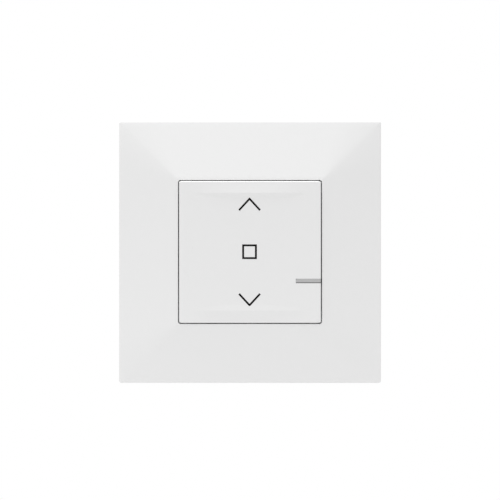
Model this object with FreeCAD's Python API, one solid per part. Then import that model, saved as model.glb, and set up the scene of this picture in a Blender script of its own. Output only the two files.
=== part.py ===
import FreeCAD, Part

import math
import os

# Roller shutter switch for one round wall box: a cover frame, a one-piece key for up, stop and
# down, and the mechanism that the key works. Sizes are in millimetres. X points right, Z points up
# and Y points into the wall. The wall's surface is y = 0, so what stands in the room has negative y.

Vector = FreeCAD.Vector

# Mounting plate, a folded steel sheet that lies on the wall over the box
screw_pitch = 60.0              # between opposite wall-box screws
slot_width = 4.2
slot_length = 8.0
plate_edge = 5.5                # from the middle of a slot to the plate's edge
plate_thickness = 1.2
plate_corner_radius = 4.0
ear_height = 5.0                # a folded ear's reach in front of the sheet
ear_width = 7.0
ear_side = 17.0                 # an ear's middle above or below the plate's middle
ear_inset = 3.9                 # from the plate's edge to the ear's outer face
fold_radius = 0.8
bead_width = 2.2                # stiffening beads pressed out of the sheet
bead_height = 0.8
bead_length = 10.0
bead_start = 4.0                # from the end of a slot
link_width = 9.0                # dovetail that lines a row of plates up
link_depth = 1.8
link_flare = 1.4
link_play = 0.15

# Cover frame
frame_overhang = 7.0            # past the mounting plate on each side
frame_wall = 1.8
frame_fall = 2.4                # how far the face drops from the opening to the outer edge
frame_corner_radius = 0.8
frame_edge_radius = 0.8
frame_edge_steps = 3            # flats that round the outer edge
face_reach = 1.6                # how far past the edge the sloping face is drawn before it is cut
mitre_start = 0.3               # from the opening's corner to where the mitre starts to soften
mitre_flare = 15.0              # degrees, from the mitre to each side of the softened band
opening_corner_radius = 1.0
collar_wall = 1.5
collar_gap = 0.4                # behind the collar, to the module cover
leg_width = 5.0
leg_thickness = 1.4
leg_play = 0.2
barb_reach = 0.9                # how far a barb stands out of its leg
barb_height = 2.0
barb_play = 0.1
rib_thickness = 1.0
rib_depth = 2.2
rib_side = 9.0                  # a rib's distance from the middle of its side

# Key
key_size = 46.0
key_gap = 0.3
key_face_thickness = 1.7
key_wall = 1.3
key_edge_radius = 0.35
key_proud = 0.5                 # the key's face in front of the frame's opening
skirt_clearance = 0.4
rock_angle = 2.0                # degrees, each way
press_travel = 0.8
ridge_height = 0.36
ridge_half_length = 18.0
ridge_edge = 0.5                # from a ridge's outer foot to the key's edge
ridge_inner_flank = 2.2
ridge_outer_flank = 3.3
ridge_crest_half = 0.25         # half the width of its rounded crest
ridge_crest_drop = 0.03
ridge_inner_sag = 0.04          # how hollow its flanks are
ridge_outer_sag = 0.07
ridge_root = 0.3                # how deep a ridge is rooted in the face
hook_width = 4.0
hook_thickness = 1.0
hook_barb = 0.5
hook_length = 1.1               # behind the carrier's plate
hook_side = 11.0                # a hook's place left and right of the middle
hook_inset = 2.9                # from the carrier's upper or lower edge
hook_play = 0.15

# Light guide of the indicator, in the key
guide_length = 8.1
guide_height = 1.4
guide_drop = 9.4                # below the key's middle
guide_play = 0.04
guide_return = 3.2              # how far it turns down the key's side
guide_leg_width = 2.6
guide_leg_inset = 0.5           # from the bar's inner end to the leg

# Key carrier, which the key clips onto and which rocks on the pivot bar
carrier_room = 2.2              # above and below, to the key's skirt
carrier_thickness = 1.4
carrier_corner_radius = 2.0
carrier_rim = 1.1
carrier_rim_depth = 1.2
rim_break = 1.0                 # the rim's break, beyond the pivot bar
notch_play = 0.5                # round the light guide's leg
nib_inset = 6.0                 # the up and down nibs from the control board's edge
nib_radius = 1.6
nib_sink = 0.5                  # how deep a nib is rooted
nib_gap = 0.05
ear_plate = 2.0                 # thickness of the carrier's bearing ears
bearing_wall = 1.2
bearing_play = 0.05
bearing_mouth = 2.2             # width of the snap-in mouth

# Pivot bar, which slides in with the key when its middle is pressed
bar_depth = 3.2
bar_height = 5.0
bar_rest_gap = 0.3
trunnion_radius = 1.3
tongue_depth = 2.4
tongue_height = 3.0
tongue_length = 2.2
tongue_play = 0.08
post_room = 1.2                 # from a guide post to the key's skirt
bar_side_play = 0.2
spring_end = 1.4                # from the bar's end to a spring's outer end
spring_start = 1.5              # from the middle dome's window to a spring's inner end
spring_width = 2.6
spring_strip = 0.2              # thickness of the strip
spring_side_play = 0.1
spring_end_play = 0.3
spring_bar_groove = 0.5
spring_cover_pocket = 0.6

# Module cover, which closes the mechanism in front
cover_thickness = 1.8
cover_lap = 2.7                 # over the mounting plate's window
cover_corner_radius = 5.0
post_bridge = 1.0
post_cheek = 1.4
post_clearance = 0.35
rim_wall = 1.2
rim_play = 0.2
rim_shy = 0.1
dome_window_half = 4.0
dome_window_radius = 1.5
pad_half = 1.9                  # posts from the cover to the housing's bosses, round the screws
post_play = 0.3                 # round those posts and the bosses, to the boards

# Silicone dome mat
mat_thickness = 0.8
mat_width = 12.0
mat_corner_radius = 2.0
mat_margin = 0.8                # to the control board's upper and lower edge
dome_radius = 2.8
dome_skin = 0.5
dome_recess = 0.2

# Circuit boards
board_margin = 4.0              # how much nearer the middle a board's edge is than the key's
board_thickness = 1.6
board_gap = 0.1
board_room = 0.5
board_spacing = 16.2

# Rear housing
housing_wall = 1.5
housing_back_wall = 1.6
housing_corner_radius = 5.0
housing_edge_chamfer = 1.0
flange_lap = 2.0
flange_thickness = 1.6
flange_corner_radius = 8.0
boss_half = 2.7
boss_inset = 2.2                # from a board's edge to the middle of a screw
pilot_depth = 7.0
rest_rib_width = 8.0
rest_rib_depth = 1.4

# Housing screws, which clamp the two housings on the mounting plate
housing_screw_radius = 1.1
housing_screw_length = 8.0      # under the head
housing_screw_head_radius = 2.2
housing_screw_head_height = 1.1
head_sink = 0.1                 # the head's face behind the cover's
housing_screw_play = 0.2
cross_width = 0.6
cross_span = 2.4
cross_depth = 0.7

# Terminals
terminal_count = 4
terminal_margin = 0.1           # from the outer terminals' room to the screw bosses
partition = 1.0                 # wall between two terminals
head_radius = 1.9
head_height = 2.0
head_play = 0.1
driver_slot = 0.8
driver_slot_depth = 0.9
access_half = 1.6
thread_radius = 1.4
thread_play = 0.06
cage_travel = 2.6
cage_base = 1.5
cage_wall = 0.8
cage_depth = 6.6
cage_play = 0.4
cage_board_gap = 1.4
cage_side_play = 0.2
wire_gap = 3.6
busbar_side_play = 0.2
busbar_thickness = 1.0
busbar_gap = 0.3
busbar_tail_width = 1.2
busbar_tail_stub = 0.5
pin_hole_play = 0.05
wire_window_margin = 0.1
funnel = 0.7

# Parts on the control board
led_width = 2.0
led_height = 1.2
led_thickness = 0.6
pipe_width = 2.4
pipe_height = 1.8
pipe_proud = 0.6
pipe_play = 0.05
pipe_led_gap = 0.05
radio_width = 11.0
radio_height = 9.0
radio_thickness = 2.2
radio_board_thickness = 0.8
radio_x = -4.5
radio_z = 6.5
can_margin = 1.0
can_corner_radius = 0.6
chip_size = 7.0
chip_thickness = 1.0
chip_x = 4.0
chip_z = -5.0

# Parts on the power board
part_margin = 1.0               # from the board's edge to the parts along it
relay_length = 15.0
relay_width = 7.6
relay_height = 10.0
relay_edge = 0.6
relay_gap = 1.0                 # between the two relays
transformer_width = 9.0
transformer_length = 9.5
transformer_height = 9.5
transformer_foot = 1.4
winding_margin = 1.8
capacitor_radius = 3.2
capacitor_length = 10.0
capacitor_drop = 4.2            # below the board's middle
capacitor_rim = 0.4
film_width = 9.0
film_depth = 4.0
film_height = 8.0
film_end = 1.0                  # from the middle to its inner end
varistor_radius = 2.2
varistor_thickness = 2.4
varistor_x = 3.4
varistor_foot = 1.0
link_pin_count = 6
link_pin_pitch = 2.54
link_pin_size = 0.6
link_pin_stub = 0.5
link_base_width = 2.4
link_base_height = 2.5
link_inset = 1.7                # from the board's upper edge

# Places that follow from the sizes above
plate_half = screw_pitch / 2 + plate_edge
frame_half = plate_half + frame_overhang
key_half = key_size / 2
opening_half = key_half + key_gap
collar_half = opening_half + collar_wall
board_half = key_half - board_margin
window_half = board_half + board_gap + rim_wall + rim_play
cover_half = window_half + cover_lap
housing_inner = board_half + board_room
housing_half = housing_inner + housing_wall
flange_half = housing_half + flange_lap
boss_place = board_half - boss_inset

y_plate_front = -plate_thickness
y_cover_face = y_plate_front - cover_thickness
y_bar_back = y_cover_face - bar_rest_gap - press_travel
y_pivot = y_bar_back - bar_depth / 2
y_bar_front = y_pivot - bar_depth / 2
y_stop = y_pivot - tongue_depth / 2
y_post_front = y_stop - post_bridge
y_key_back = y_post_front - press_travel - post_clearance
y_key_face = y_key_back - key_face_thickness
y_crest = y_key_face + key_proud
rock_drop = key_half * math.sin(math.radians(rock_angle))
y_skirt_end = y_cover_face - press_travel - rock_drop - skirt_clearance
y_collar_back = y_cover_face - collar_gap
y_carrier_back = y_key_back + carrier_thickness
y_board_front = y_plate_front + mat_thickness
y_board_back = y_board_front + board_thickness
y_dome = y_cover_face + dome_recess
y_nib_end = y_dome - nib_gap
y_power_front = y_board_back + board_spacing
y_power_back = y_power_front + board_thickness
y_cage_front = y_power_back + cage_board_gap
y_cage_back = y_cage_front + cage_depth
y_housing_back_inner = y_cage_back + cage_play
y_housing_back = y_housing_back_inner + housing_back_wall

ear_x = plate_half - ear_inset - plate_thickness
leg_outer = ear_x - leg_play
barb_front = y_plate_front - 3.0
guide_inner = key_half - guide_length
guide_leg_x = guide_inner + guide_leg_inset + guide_leg_width / 2
ridge_crest = key_half - ridge_edge - ridge_outer_flank
tongue_end = key_half - key_wall - post_room
trunnion_end = tongue_end - tongue_length
ear_inner_x = trunnion_end - bar_side_play - ear_plate
bar_half_length = ear_inner_x - bar_side_play
spring_inner = dome_window_half + spring_start
spring_outer = bar_half_length - spring_end
carrier_half_width = trunnion_end
carrier_half_height = key_half - key_wall - carrier_room
hook_place = carrier_half_height - hook_inset
nib_place = board_half - nib_inset
link_place = board_half - link_inset

head_bottom = -housing_inner + head_play
head_top = head_bottom + head_height
cage_bottom = head_top + cage_travel + head_play
cage_floor = cage_bottom + cage_base
busbar_bottom = cage_floor + busbar_gap
busbar_top = busbar_bottom + busbar_thickness
cage_roof = busbar_top + wire_gap
cage_top = cage_roof + cage_wall
terminal_pitch = 2 * (boss_place - boss_half - terminal_margin) / terminal_count
cage_half = (terminal_pitch - partition) / 2 - cage_side_play
cage_inner_half = cage_half - cage_wall
busbar_half = cage_inner_half - busbar_side_play


def box(x0, x1, y0, y1, z0, z1):
    """A block between two corners."""
    return Part.makeBox(x1 - x0, y1 - y0, z1 - z0, Vector(x0, y0, z0))


def rod(radius, start, direction, length):
    """A cylinder from a start point along a direction."""
    return Part.makeCylinder(radius, length, Vector(*start), Vector(*direction))


def rod_y(radius, x, z, y0, y1):
    """A cylinder along Y."""
    return rod(radius, (x, y0, z), (0, 1, 0), y1 - y0)


def rounded_outline(half_x, half_z, radius, y, x=0.0, z=0.0):
    """A closed rectangle with round corners, in a plane across Y."""
    radius = min(radius, half_x * 0.98, half_z * 0.98)
    corners = [(1, 1, 0), (-1, 1, 90), (-1, -1, 180), (1, -1, 270)]
    arcs = []
    for sx, sz, start in corners:
        cx = x + sx * (half_x - radius)
        cz = z + sz * (half_z - radius)
        points = []
        for turn in (0, 45, 90):
            angle = math.radians(start + turn)
            points.append(Vector(cx + radius * math.cos(angle), y, cz + radius * math.sin(angle)))
        arcs.append(points)
    edges = []
    for i, points in enumerate(arcs):
        edges.append(Part.Arc(*points).toShape())
        edges.append(Part.LineSegment(points[2], arcs[(i + 1) % 4][0]).toShape())
    return Part.Wire(edges)


def slab(half_x, half_z, radius, y0, y1, x=0.0, z=0.0):
    """A plate with round corners between two depths."""
    face = Part.Face(rounded_outline(half_x, half_z, radius, y0, x, z))
    return face.extrude(Vector(0, y1 - y0, 0))


def prism(points, direction):
    """A polygon swept along a straight direction."""
    corners = [Vector(*p) for p in points]
    face = Part.Face(Part.makePolygon(corners + corners[:1]))
    return face.extrude(Vector(*direction))


def join(shapes):
    """One clean shape of all that is given."""
    return shapes[0].fuse(shapes[1:]).removeSplitter() if len(shapes) > 1 else shapes[0]


def carve(shape, cutters):
    """The shape without the cutters."""
    return shape.cut(cutters).removeSplitter()


def flip_x(shape):
    return shape.mirror(Vector(0, 0, 0), Vector(1, 0, 0))


def flip_z(shape):
    return shape.mirror(Vector(0, 0, 0), Vector(0, 0, 1))


def four_ways(shape):
    """The shape and its mirror images on the other three quarters."""
    pair = [shape, flip_x(shape)]
    return pair + [flip_z(s) for s in pair]


def around(shape):
    """The shape turned onto each of the four sides."""
    turned = []
    for quarter in range(4):
        copy = shape.copy()
        copy.rotate(Vector(0, 0, 0), Vector(0, 1, 0), 90 * quarter)
        turned.append(copy)
    return turned


def edges_where(shape, test):
    """The edges whose middle passes a test of its point."""
    found = []
    for edge in shape.Edges:
        middle = edge.valueAt((edge.FirstParameter + edge.LastParameter) / 2)
        if test(middle, edge):
            found.append(edge)
    return found


def is_straight_along(edge, axis):
    """Whether an edge runs straight along a row axis."""
    if len(edge.Vertexes) < 2:
        return False
    run = edge.Vertexes[-1].Point - edge.Vertexes[0].Point
    return run.Length > 1e-6 and abs(abs(run.dot(axis)) - run.Length) < 1e-6


def square_bar(half, x, z, y0, y1):
    """A square bar along Y."""
    return box(x - half, x + half, y0, y1, z - half, z + half)


def corner_screws():
    """The places of the four housing screws."""
    return [(sx * boss_place, sz * boss_place) for sx in (1, -1) for sz in (1, -1)]


def terminal_places():
    """The middle of each terminal along X."""
    first = -(terminal_count - 1) / 2 * terminal_pitch
    return [first + i * terminal_pitch for i in range(terminal_count)]


def spreading_block(half_front, y_front, half_back, y_back):
    """A square block that spreads from its front to a level behind, and runs back to the wall."""
    slopes = Part.makeWedge(-half_front, y_front, -half_front, -half_back, -half_back,
                            half_front, y_back, half_front, half_back, half_back)
    return slopes.fuse(box(-half_back, half_back, y_back, 0, -half_back, half_back))


def sloping_block(y_front):
    """A block with the frame's four sloping faces and sharp mitres.

    It is drawn past the frame's outer edge, so that the edge can be cut from it."""
    half_back = opening_half + face_reach * (frame_half - opening_half)
    return spreading_block(opening_half, y_front, half_back, y_front + face_reach * frame_fall)


def edge_flats():
    """The blocks whose sides lie against the round of the frame's outer edge, one for each flat."""
    slope = frame_fall / (frame_half - opening_half)
    x_round = frame_half - frame_edge_radius
    y_round = y_crest + slope * (x_round - opening_half) + frame_edge_radius * math.hypot(1, slope)
    first = math.atan(slope)
    flats = []
    for step in range(1, frame_edge_steps + 1):
        angle = first + (math.pi / 2 - first) * step / (frame_edge_steps + 1)

        def half_at(y):
            return x_round + (frame_edge_radius + math.cos(angle) * (y - y_round)) / math.sin(angle)

        y_back = y_round + frame_edge_radius * math.sin(angle)
        y_front = y_crest - 1
        flats.append(spreading_block(half_at(y_front), y_front, half_at(y_back), y_back))
    return flats


def mitre_cutter():
    """What comes off the upper right corner to soften its mitre.

    A cone whose tip lies on the mitre touches both slopes, so the soft band widens outwards."""
    slope = frame_fall / (frame_half - opening_half)
    start = opening_half + mitre_start
    tip = Vector(start, y_crest + slope * mitre_start, start)
    turn = math.radians(45 + mitre_flare)
    touch = Vector(math.cos(turn), slope * math.sin(turn), math.sin(turn)).normalize()
    inward = Vector(0, 1, -slope).normalize()
    lean = math.atan2(touch.z - touch.x, inward.x - inward.z)
    axis = touch * math.cos(lean) + inward * math.sin(lean)
    cone = Part.makeCone(0, frame_half * math.tan(lean), frame_half, tip, axis)
    reach = 2 * frame_half
    above = tip - Vector(0, 1, 0)
    up = above + Vector(reach * math.cos(turn), 0, reach * math.sin(turn))
    across = above + Vector(reach * math.sin(turn), 0, reach * math.cos(turn))
    corner = prism([above, up, across], (0, 2 * face_reach * frame_fall + 1, 0))
    return corner.cut(cone)


def frame_leg():
    """A flexible leg with a barb that clicks into the window of an ear."""
    y_root = y_crest + frame_wall / 2
    y_end = y_plate_front - leg_play
    half = leg_width / 2
    leg = box(leg_outer - leg_thickness, leg_outer, y_root, y_end, ear_side - half, ear_side + half)
    barb = prism([(leg_outer, barb_front, ear_side - half),
                  (leg_outer + barb_reach, barb_front, ear_side - half),
                  (leg_outer, barb_front + barb_height, ear_side - half)], (0, 0, leg_width))
    return leg.fuse(barb)


def cover_frame():
    """The moulded frame: a shallow pyramid with soft mitres, hollow behind, and a collar round the key."""
    outside = slab(frame_half, frame_half, frame_corner_radius, y_crest - 1, 0)
    shell = sloping_block(y_crest).cut(four_ways(mitre_cutter())).common(outside)
    for flat in edge_flats():
        shell = shell.common(flat)
    inner = frame_half - frame_wall
    hollow = sloping_block(y_crest + frame_wall).common(
        slab(inner, inner, frame_corner_radius, y_crest, 0))
    hollow = hollow.cut(slab(collar_half, collar_half, opening_corner_radius + collar_wall, y_crest, 0))
    shell = shell.cut(hollow)
    shell = shell.cut(slab(opening_half, opening_half, opening_corner_radius, y_crest - 1, 1))
    shell = shell.cut(slab(collar_half + 0.01, collar_half + 0.01,
                           opening_corner_radius + collar_wall, y_collar_back, 0))
    return join([shell] + frame_ribs() + [leg.common(outside) for leg in four_ways(frame_leg())])


def frame_ribs():
    """Ribs that tie the collar to the outer wall, in pairs on each side."""
    half = rib_thickness / 2
    reach = frame_half - frame_wall / 2
    room = sloping_block(y_crest + frame_wall / 2)
    deep = sloping_block(y_crest + frame_wall + rib_depth)
    ribs = []
    for z in (rib_side, -rib_side):
        ribs += around(box(collar_half - collar_wall / 2, reach, y_crest, 0, z - half, z + half))
    return [rib.common(room).cut(deep) for rib in ribs]


def plate_ear():
    """An ear folded forwards out of the sheet, with the window for a frame leg's barb."""
    half = ear_width / 2
    ear = box(ear_x, ear_x + plate_thickness, y_plate_front - ear_height, 0,
              ear_side - half, ear_side + half)

    def fold(middle, edge):
        return abs(middle.x - ear_x - plate_thickness) < 0.01 and abs(middle.y) < 0.01

    ear = ear.makeFillet(fold_radius, edges_where(ear, fold))
    window_half_width = leg_width / 2 + leg_play
    window = box(ear_x - 1, ear_x + plate_thickness + 1, barb_front - barb_play,
                 barb_front + barb_height + leg_play, ear_side - window_half_width,
                 ear_side + window_half_width)
    return ear.cut(window)


def mounting_plate():
    """The steel sheet that is screwed over the wall box and carries all the rest."""
    sheet = slab(plate_half, plate_half, plate_corner_radius, y_plate_front, 0)
    cuts = [slab(window_half, window_half, cover_corner_radius + rim_play, y_plate_front - 1, 1)]
    end = slot_length / 2
    cuts += around(slab(end, slot_width / 2, slot_width / 2, y_plate_front - 1, 1, screw_pitch / 2, 0))
    half = ear_width / 2
    blank = box(ear_x - ear_height, ear_x + plate_thickness, y_plate_front - 1, 1,
                ear_side - half, ear_side + half)
    cuts += four_ways(blank)
    cuts.append(link_shape(-plate_half, link_play))
    beads, grooves = plate_beads()
    ears = four_ways(plate_ear())
    return carve(join([sheet.cut(cuts), link_shape(plate_half, 0)] + ears + beads), grooves)


def link_shape(x, play):
    """The dovetail on one edge of the plate. Grown by a play, it is the notch on the other edge."""
    root = link_width / 2 - link_flare + play
    tip = link_width / 2 + play
    outline = [(x, y_plate_front, -root), (x, y_plate_front, root),
               (x + link_depth + play, y_plate_front, tip), (x + link_depth + play, y_plate_front, -tip)]
    return prism(outline, (0, plate_thickness, 0))


def plate_beads():
    """Beads pressed forwards beside the upper and lower slots, and their grooves behind."""
    beads = four_ways(bead_shape(y_plate_front))
    grooves = four_ways(bead_shape(0))
    return beads, grooves


def bead_shape(y):
    """A bar with sloping flanks and ends that stands out in front of a plane across Y."""
    x0 = slot_length / 2 + bead_start
    x1 = min(x0 + bead_length, plate_half - plate_corner_radius)
    z0 = screw_pitch / 2 - bead_width / 2
    z1 = screw_pitch / 2 + bead_width / 2
    s = bead_height / 2
    return Part.makeWedge(x0 + s, y - bead_height, z0 + s, z0, x0, x1 - s, y, z1 - s, z1, x1)


def ridge():
    """The low lens-shaped ridge under a fingertip near the key's upper edge.

    Its section is swept on a wide circle that dips into the face at both ends."""
    z_in = ridge_crest - ridge_inner_flank
    z_out = ridge_crest + ridge_outer_flank
    z0 = ridge_crest - ridge_crest_half
    z1 = ridge_crest + ridge_crest_half
    shoulder = ridge_height - ridge_crest_drop

    def at(z, height):
        return Vector(0, y_key_face - height, z)

    inner = Part.Arc(at(z_in, 0), at((z_in + z0) / 2, shoulder / 2 - ridge_inner_sag), at(z0, shoulder))
    crest = Part.Arc(at(z0, shoulder), at(ridge_crest, ridge_height), at(z1, shoulder))
    outer = Part.Arc(at(z1, shoulder), at((z1 + z_out) / 2, shoulder / 2 - ridge_outer_sag), at(z_out, 0))
    foot = Part.makePolygon([at(z_out, 0), at(z_out, -ridge_root), at(z_in, -ridge_root), at(z_in, 0)])
    section = Part.Face(Part.Wire([inner.toShape(), crest.toShape(), outer.toShape()] + foot.Edges))
    sweep_radius = (ridge_half_length ** 2 + ridge_height ** 2) / (2 * ridge_height)
    centre = Vector(0, y_key_face - ridge_height + sweep_radius, 0)
    turn = math.degrees(math.asin(ridge_half_length / sweep_radius))
    section.rotate(centre, Vector(0, 0, 1), -turn)
    return section.revolve(centre, Vector(0, 0, 1), 2 * turn)


def key_hook():
    """A hook behind the key's face that snaps through a window of the carrier."""
    half = hook_width / 2
    y_end = y_carrier_back + hook_length
    y_catch = y_carrier_back + hook_play / 2
    outer = hook_place
    stem = box(hook_side - half, hook_side + half, y_key_back - key_face_thickness / 2, y_end,
               outer - hook_thickness, outer)
    barb = prism([(hook_side - half, y_catch, outer), (hook_side - half, y_catch, outer + hook_barb),
                  (hook_side - half, y_end, outer)], (hook_width, 0, 0))
    return stem.fuse(barb)


def key_plate():
    """The moulded key: a flat face with two finger ridges, a skirt, four hooks and the indicator's slot."""
    corner = opening_corner_radius - key_gap
    body = slab(key_half, key_half, corner, y_key_face, y_skirt_end)

    def face_edge(middle, edge):
        return abs(middle.y - y_key_face) < 0.01

    body = body.makeFillet(key_edge_radius, edges_where(body, face_edge))
    inner = key_half - key_wall
    body = body.cut(slab(inner, inner, corner, y_key_back, y_skirt_end + 1))
    bump = ridge()
    body = body.fuse([bump, flip_z(bump)])
    body = body.cut(guide_slot())
    return join([body] + four_ways(key_hook()))


def guide_slot():
    """The room for the light guide, through the face and down the side of the skirt."""
    grow = guide_play
    half = guide_height / 2 + grow
    z = -guide_drop
    front = box(guide_inner - grow, key_half + 1, y_key_face - 1, y_key_back + 0.01, z - half, z + half)
    side = box(key_half - key_wall - grow, key_half + 1, y_key_face - 1,
               y_key_face + guide_return + grow, z - half, z + half)
    return front.fuse(side)


def light_guide():
    """The clear indicator bar: flush in the key's face, round its side, with a leg towards the lamp."""
    half = guide_height / 2
    z = -guide_drop
    bar = box(guide_inner, key_half - guide_play, y_key_face + guide_play, y_key_back, z - half, z + half)
    turned = box(key_half - key_wall, key_half - guide_play, y_key_face + guide_play,
                 y_key_face + guide_return, z - half, z + half)
    body = bar.fuse(turned)

    def left_end(middle, edge):
        return abs(middle.x - guide_inner) < 0.01 and is_straight_along(edge, Vector(0, 1, 0))

    body = body.makeFillet(half * 0.6, edges_where(body, left_end))
    y_leg_end = (y_cover_face - pipe_proud - press_travel - rock_drop * guide_drop / key_half
                 - skirt_clearance / 2)
    leg = box(guide_leg_x - guide_leg_width / 2, guide_leg_x + guide_leg_width / 2, y_key_back - 0.5,
              y_leg_end, z - half, z + half)
    return join([body, leg])


def key_carrier():
    """The carrier: a stiff plate with the hook windows, two bearing ears and the up and down nibs."""
    plate = slab(carrier_half_width, carrier_half_height, carrier_corner_radius, y_key_back, y_carrier_back)
    rim = slab(carrier_half_width, carrier_half_height, carrier_corner_radius, y_carrier_back,
               y_carrier_back + carrier_rim_depth)
    rim = rim.cut(slab(carrier_half_width - carrier_rim, carrier_half_height - carrier_rim,
                       carrier_corner_radius, y_carrier_back - 1, y_carrier_back + carrier_rim_depth + 1))
    bar_room = bar_height / 2 + rim_break
    rim = rim.cut(box(-key_half, key_half, y_carrier_back, 0, -bar_room, bar_room))
    ears = [bearing_ear(), flip_x(bearing_ear())]
    nibs = [nib(nib_place, y_carrier_back), nib(-nib_place, y_carrier_back)]
    body = join([plate, rim] + ears + nibs)
    half = hook_width / 2 + hook_play
    window = box(hook_side - half, hook_side + half, y_key_back - 1, y_carrier_back + carrier_rim_depth + 1,
                 hook_place - hook_thickness - hook_play, hook_place + hook_play)
    notch_half = guide_height / 2 + notch_play
    notch = box(guide_leg_x - guide_leg_width / 2 - notch_play, key_half, y_key_back - 1, 0,
                -guide_drop - notch_half, -guide_drop + notch_half)
    return carve(body, four_ways(window) + [notch])


def bearing_ear():
    """An ear whose snap-in bearing turns on a trunnion of the pivot bar."""
    bore = trunnion_radius + bearing_play
    outer = bore + bearing_wall
    x0 = ear_inner_x
    hub = rod(outer, (x0, y_pivot, 0), (1, 0, 0), ear_plate)
    web = box(x0, x0 + ear_plate, y_key_back + carrier_thickness / 2, y_pivot, -outer, outer)
    hub = hub.fuse(web).cut(rod(bore, (x0 - 1, y_pivot, 0), (1, 0, 0), ear_plate + 2))
    mouth = box(x0 - 1, x0 + ear_plate + 1, y_pivot, 0, -bearing_mouth / 2, bearing_mouth / 2)
    beyond = box(x0 - 1, x0 + ear_plate + 1, y_bar_back, 0, -2 * outer, 2 * outer)
    return hub.cut([mouth, beyond])


def nib(z, y_root):
    """A nib that stands on a plane across Y and presses a dome."""
    return rod_y(nib_radius, 0, z, y_root - nib_sink, y_nib_end)


def pivot_bar():
    """The sliding bar: trunnions for the carrier, tongues for the guide posts and the stop nib."""
    body = box(-bar_half_length, bar_half_length, y_bar_front, y_bar_back, -bar_height / 2, bar_height / 2)
    body = body.makeChamfer(0.4, edges_where(body, lambda m, e: is_straight_along(e, Vector(1, 0, 0))))
    axle = rod(trunnion_radius, (-trunnion_end - 0.1, y_pivot, 0), (1, 0, 0), 2 * trunnion_end + 0.2)
    tongue = box(trunnion_end, tongue_end, y_stop, y_pivot + tongue_depth / 2,
                 -tongue_height / 2, tongue_height / 2)
    half = spring_width / 2 + spring_side_play
    groove = box(spring_inner - spring_end_play, spring_outer + spring_end_play,
                 y_bar_back - spring_bar_groove, y_bar_back + 1, -half, half)
    return carve(join([body, axle, tongue, flip_x(tongue), nib(0, y_bar_back)]), [groove, flip_x(groove)])


def bar_spring():
    """The right return spring: a bowed steel strip between the pivot bar and the module cover."""
    y_crown = y_bar_back - spring_bar_groove
    y_foot = y_cover_face + spring_cover_pocket
    middle = (spring_inner + spring_outer) / 2
    half = spring_width / 2

    def bow(y_end, y_middle):
        start = Vector(spring_inner, y_end, -half)
        end = Vector(spring_outer, y_end, -half)
        return Part.Arc(start, Vector(middle, y_middle, -half), end).toShape()

    front = bow(y_foot - spring_strip, y_crown)
    back = bow(y_foot, y_crown + spring_strip)
    ends = [Part.makeLine(Vector(x, y_foot - spring_strip, -half), Vector(x, y_foot, -half))
            for x in (spring_inner, spring_outer)]
    face = Part.Face(Part.Wire(Part.__sortEdges__([front, back] + ends)))
    return face.extrude(Vector(0, 0, spring_width))


def guide_post():
    """A post whose closed window guides a tongue of the pivot bar and stops it in front."""
    x0 = trunnion_end + bar_side_play
    x1 = tongue_end
    half = tongue_height / 2 + tongue_play
    post = box(x0, x1, y_post_front, y_cover_face + 0.1, -half - post_cheek, half + post_cheek)
    window = box(x0 - 1, x1 + 1, y_stop, y_cover_face - bar_rest_gap / 2, -half, half)
    return post.cut(window)


def module_cover():
    """The mechanism's front cover: guide posts, dome windows, and a rim in the plate's window."""
    plate = slab(cover_half, cover_half, cover_corner_radius, y_cover_face, y_plate_front)
    rim_half = window_half - rim_play
    rim = slab(rim_half, rim_half, cover_corner_radius, y_plate_front - 0.5, -rim_shy)
    inner = rim_half - rim_wall
    room = slab(inner, inner, cover_corner_radius - rim_wall, y_plate_front, y_board_back)
    rim = rim.cut(room)
    pads = [room.common(square_bar(pad_half, x, z, y_plate_front, y_board_back))
            for x, z in corner_screws()]
    body = join([plate, rim, guide_post(), flip_x(guide_post())] + pads)
    cuts = []
    for x, z in corner_screws():
        cuts.append(square_bar(housing_screw_radius + housing_screw_play, x, z,
                               y_cover_face - 1, y_board_back + 1))
        cuts.append(square_bar(housing_screw_head_radius + housing_screw_play, x, z,
                               y_cover_face - 1, y_cover_face + housing_screw_head_height))
    for z in (nib_place, 0, -nib_place):
        cuts.append(slab(dome_window_half, dome_window_half, dome_window_radius,
                         y_cover_face - 1, y_plate_front + 1, 0, z))
    half = spring_width / 2 + spring_side_play
    pocket = box(spring_inner - spring_end_play, spring_outer + spring_end_play,
                 y_cover_face - 1, y_cover_face + spring_cover_pocket, -half, half)
    cuts += [pocket, flip_x(pocket)]
    cuts.append(box(guide_leg_x - pipe_width / 2 - pipe_play, guide_leg_x + pipe_width / 2 + pipe_play,
                    y_cover_face - 1, y_plate_front + 1,
                    -guide_drop - pipe_height / 2 - pipe_play, -guide_drop + pipe_height / 2 + pipe_play))
    return carve(body, cuts)


def dome_mat():
    """The silicone mat with its three domes, each with a square hollow."""
    body = slab(mat_width / 2, board_half - mat_margin, mat_corner_radius, y_plate_front, y_board_front)
    hollow_half = (dome_radius - dome_skin) * math.sqrt(0.5)
    tops, hollows = [], []
    for z in (nib_place, 0, -nib_place):
        tops.append(rod_y(dome_radius, 0, z, y_dome, y_board_front - dome_skin))
        hollows.append(square_bar(hollow_half, 0, z, y_dome + 2 * dome_skin, y_board_front + 1))
    return carve(join([body] + tops), hollows)


def control_board():
    """The board behind the dome mat, notched at the cover's pads, with the holes of the board link."""
    y0, y1 = y_board_front - 1, y_board_back + 1
    body = box(-board_half, board_half, y_board_front, y_board_back, -board_half, board_half)
    return carve(body, screw_notches(board_half, pad_half, y0, y1) + link_holes(y0, y1))


def screw_notches(half, post_half, y0, y1):
    """What comes off a board's corners to clear the square posts round the housing's screws."""
    near = boss_place - post_half - post_play
    return four_ways(box(near, half + 1, y0, y1, near, half + 1))


def link_places():
    """The board link's pins along X."""
    first = -(link_pin_count - 1) / 2 * link_pin_pitch
    return [first + i * link_pin_pitch for i in range(link_pin_count)]


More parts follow.
